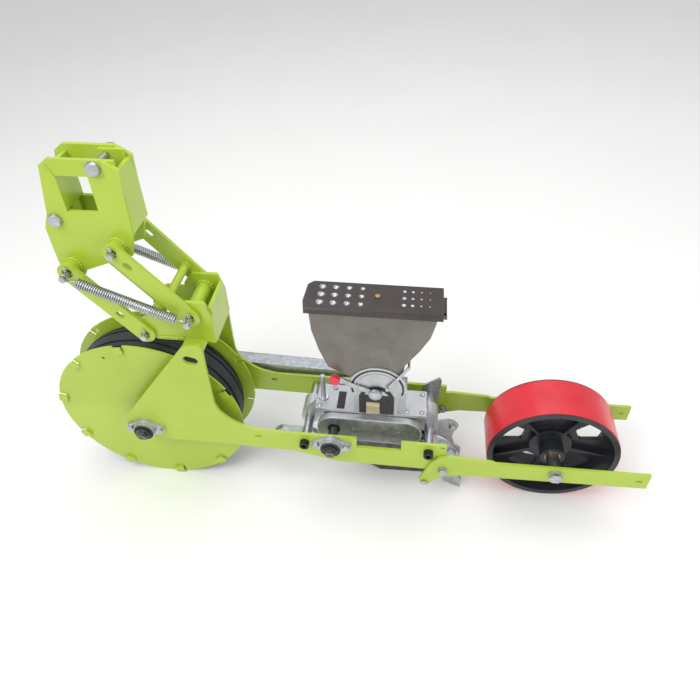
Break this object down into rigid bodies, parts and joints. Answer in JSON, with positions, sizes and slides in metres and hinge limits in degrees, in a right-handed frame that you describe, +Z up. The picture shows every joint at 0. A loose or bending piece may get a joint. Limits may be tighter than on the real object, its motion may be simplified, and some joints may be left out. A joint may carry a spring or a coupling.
{
  "type": "corn planter row unit",
  "caption": "Single-row seed planter unit with a lugged drive wheel, chain-driven metering box and hopper, rear press wheel, and a sprung parallel linkage ending in a toolbar clamp.",
  "frame": {"origin": "on the ground plane, under the middle of the object's bounding box", "axes": "+X rearwards from the toolbar head to the press wheel, +Y to the right side with the chain guard, +Z up"},
  "size_m": [0.9958, 0.1932, 0.6461],
  "materials": {
    "green_paint": "gloss powder coat",
    "zinc_plate": "bright zinc plate",
    "black_oxide": "black oxide",
    "galvanised": "spangled galvanised sheet",
    "cast_aluminium": "tumbled casting",
    "dark_steel": "oiled steel",
    "black_rubber": "ribbed rubber",
    "red_tread": "smooth red rubber",
    "black_casting": "black painted casting",
    "smoke_plastic": "smoky translucent plastic",
    "brown_plastic": "dark plastic",
    "black_plastic": "moulded",
    "bristle": "packed bristles",
    "red_plastic": "moulded",
    "white_plastic": "moulded",
    "bronze": "sintered bronze"
  },
  "bodies": {
    "frame": {"arm_pivot_bolts": "zinc_plate", "bearing_bolts": "zinc_plate", "blade_bolts": "zinc_plate", "brush_holder": "black_plastic", "case_chain": "dark_steel", "chain_case": "cast_aluminium", "chain_case_cover": "galvanised", "chain_guard_cover": "galvanised", "chain_guard_tray": "galvanised", "cover_screws": "zinc_plate", "covering_blades": "galvanised", "cross_rods": "zinc_plate", "drive_chain": "dark_steel", "flange_bearings": "cast_aluminium", "hopper": "smoke_plastic", "left_frame_plate": "green_paint", "linkage_tower": "green_paint", "metering_body": "cast_aluminium", "metering_brush": "bristle", "metering_chain": "dark_steel", "opener_nose_loop": "galvanised", "opener_shoe": "dark_steel", "pivot_screws": "zinc_plate", "rear_pivot_pins": "zinc_plate", "rear_stay_plate": "galvanised", "right_frame_plate": "green_paint", "rod_socket_screws": "black_oxide"},
    "drive_wheel": {"drive_axle": "zinc_plate", "wheel_hub": "dark_steel", "left_wheel_disc": "green_paint", "right_wheel_disc": "green_paint", "drive_tyre": "black_rubber", "axle_spacers_and_nut": "zinc_plate", "drive_sprocket": "dark_steel"},
    "cross_shaft": {"cross_shaft": "zinc_plate", "cross_shaft_sprockets": "dark_steel"},
    "lay_shaft": {"lay_shaft": "zinc_plate", "lay_shaft_sprockets": "dark_steel"},
    "seed_roller": {"seed_roller": "white_plastic", "roller_shaft_and_sprocket": "zinc_plate"},
    "brush_lever": {"brush_lever": "zinc_plate", "lever_knob": "red_plastic"},
    "lid": {"lid": "brown_plastic", "lid_screw": "zinc_plate"},
    "bail": {"bail_clip": "zinc_plate"},
    "press_arms": {"left_press_arm": "green_paint", "right_press_arm": "green_paint", "arm_stop_bolts": "zinc_plate", "press_axle": "zinc_plate", "press_axle_nuts_and_spacers": "zinc_plate"},
    "press_wheel": {"press_wheel_casting": "black_casting", "press_wheel_tread": "red_tread", "press_wheel_bushes": "bronze"},
    "upper_links": {"upper_link_frame": "green_paint"},
    "lower_links": {"lower_links": "green_paint", "down_pressure_springs": "zinc_plate"},
    "head": {"head_channel": "green_paint", "toolbar_clamp": "green_paint", "clamp_bolts_and_nuts": "zinc_plate", "front_pivot_pins": "zinc_plate"}
  },
  "joints": [
    {"name": "drive_wheel_spin", "type": "hinge", "parent": "frame", "child": "drive_wheel", "pos_m": [-0.33394, 0, 0.164], "axis": [0, 1, 0], "continuous": true},
    {"name": "cross_shaft_spin", "type": "hinge", "parent": "frame", "child": "cross_shaft", "pos_m": [-0.01282, 0, 0.14821], "axis": [0, 1, 0], "continuous": true},
    {"name": "lay_shaft_spin", "type": "hinge", "parent": "frame", "child": "lay_shaft", "pos_m": [0.10658, 0, 0.14334], "axis": [0, 1, 0], "continuous": true},
    {"name": "seed_roller_spin", "type": "hinge", "parent": "frame", "child": "seed_roller", "pos_m": [0.05706, 0, 0.15607], "axis": [0, 1, 0], "continuous": true},
    {"name": "brush_lever_turn", "type": "hinge", "parent": "frame", "child": "brush_lever", "pos_m": [0.06032, 0, 0.236], "axis": [0, 1, 0], "range_deg": [-10, 12]},
    {"name": "lid_hinge", "type": "hinge", "parent": "frame", "child": "lid", "pos_m": [0.16532, 0, 0.39336], "axis": [0, 1, 0], "range_deg": [0, 100]},
    {"name": "bail_swing", "type": "hinge", "parent": "frame", "child": "bail", "pos_m": [0.07979, 0, 0.24722], "axis": [0, 1, 0], "range_deg": [0, 60]},
    {"name": "press_arm_pivot", "type": "hinge", "parent": "frame", "child": "press_arms", "pos_m": [0.17189, 0, 0.10034], "axis": [0, 1, 0], "range_deg": [0, 20]},
    {"name": "press_wheel_spin", "type": "hinge", "parent": "press_arms", "child": "press_wheel", "pos_m": [0.35233, 0, 0.1075], "axis": [0, 1, 0], "continuous": true},
    {"name": "upper_link_pivot", "type": "hinge", "parent": "frame", "child": "upper_links", "pos_m": [-0.20962, 0, 0.39513], "axis": [0, 1, 0], "range_deg": [-40, 0], "stiffness_Nm_per_rad": 7, "springref_deg": 74.48},
    {"name": "lower_link_pivot", "type": "hinge", "parent": "frame", "child": "lower_links", "pos_m": [-0.28945, 0, 0.35935], "axis": [0, 1, 0], "range_deg": [-40, 0], "deforming": ["down_pressure_springs"]},
    {"name": "head_pivot", "type": "hinge", "parent": "upper_links", "child": "head", "pos_m": [-0.29545, 0, 0.51172], "axis": [0, 1, 0], "range_deg": [0, 40]}
  ],
  "couplings": [
    {"joint": "cross_shaft_spin", "follows": "drive_wheel_spin", "ratio": 1.6},
    {"joint": "lay_shaft_spin", "follows": "drive_wheel_spin", "ratio": 1.6},
    {"joint": "seed_roller_spin", "follows": "drive_wheel_spin", "ratio": 1.2},
    {"joint": "lower_link_pivot", "follows": "upper_link_pivot", "ratio": 1},
    {"joint": "head_pivot", "follows": "upper_link_pivot", "ratio": -1}
  ]
}
